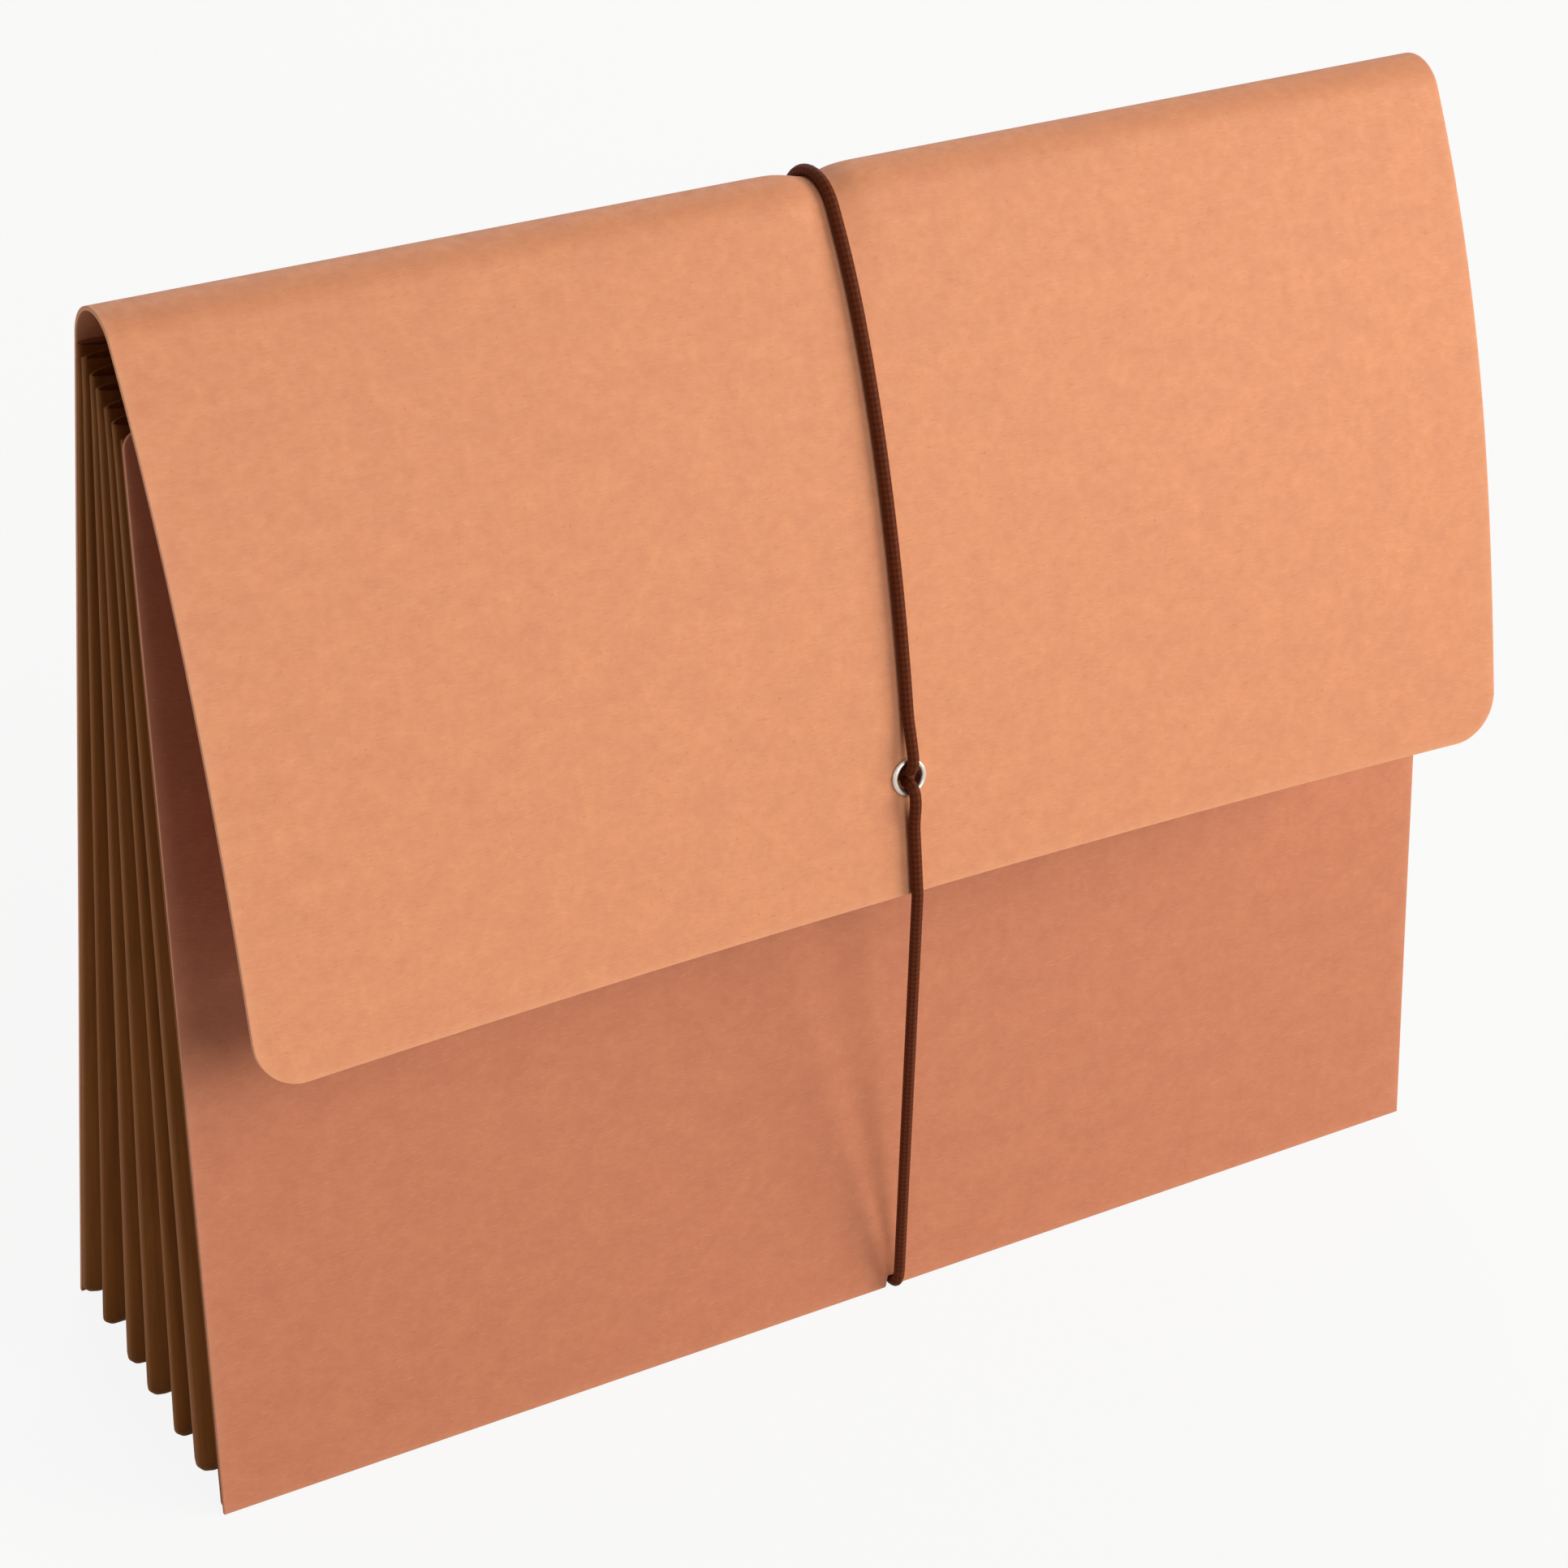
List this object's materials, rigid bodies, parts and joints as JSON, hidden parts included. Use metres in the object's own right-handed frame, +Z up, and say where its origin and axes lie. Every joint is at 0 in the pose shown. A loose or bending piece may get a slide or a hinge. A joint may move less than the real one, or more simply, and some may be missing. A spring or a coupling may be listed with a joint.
{
  "type": "expanding file pocket",
  "caption": "Letter-size board file pocket with a pleated expanding gusset, a long fold-over flap and an elastic cord closure through a metal eyelet.",
  "frame": {"origin": "on the floor under the middle of the pocket's bounding box", "axes": "+X along the width to the right as seen from the front, -Y out of the front, +Z up"},
  "size_m": [0.2986, 0.08, 0.2437],
  "materials": {
    "board": "matte",
    "front_board": "matte",
    "gusset": "satin",
    "eyelet_metal": "satin",
    "elastic": "matte"
  },
  "bodies": {
    "back": {"back_panel": "board", "top_fold": "board", "gusset_left": "gusset", "gusset_right": "gusset", "gusset_bottom": "gusset", "gusset_flange_back": "gusset", "cord_back": "elastic", "cord_fold": "elastic"},
    "front": {"front_panel": "front_board", "gusset_flange_front": "gusset"},
    "flap": {"flap": "board", "eyelet": "eyelet_metal", "eyelet_washer": "eyelet_metal", "cord_upper": "elastic", "cord_lower": "elastic", "cord_knot": "elastic"},
    "cord_run": {"cord_front": "elastic"}
  },
  "joints": [
    {"name": "flap_open", "type": "hinge", "parent": "back", "child": "flap", "pos_m": [0, 0.02836, 0.2321], "axis": [-1, 0, 0], "range_deg": [0, 140], "deforming": ["top_fold", "cord_fold"]},
    {"name": "cord_hang", "type": "hinge", "parent": "flap", "child": "cord_run", "pos_m": [0, -0.03368, 0.10811], "axis": [-1, 0, 0], "range_deg": [-140, 0]},
    {"name": "expand", "type": "hinge", "parent": "back", "child": "front", "pos_m": [0, -0.02914, 0.25], "axis": [1, 0, 0], "range_deg": [0, 12.5], "deforming": ["gusset_left", "gusset_right", "gusset_bottom"]}
  ],
  "couplings": [
    {"joint": "cord_hang", "follows": "flap_open", "ratio": -1}
  ]
}
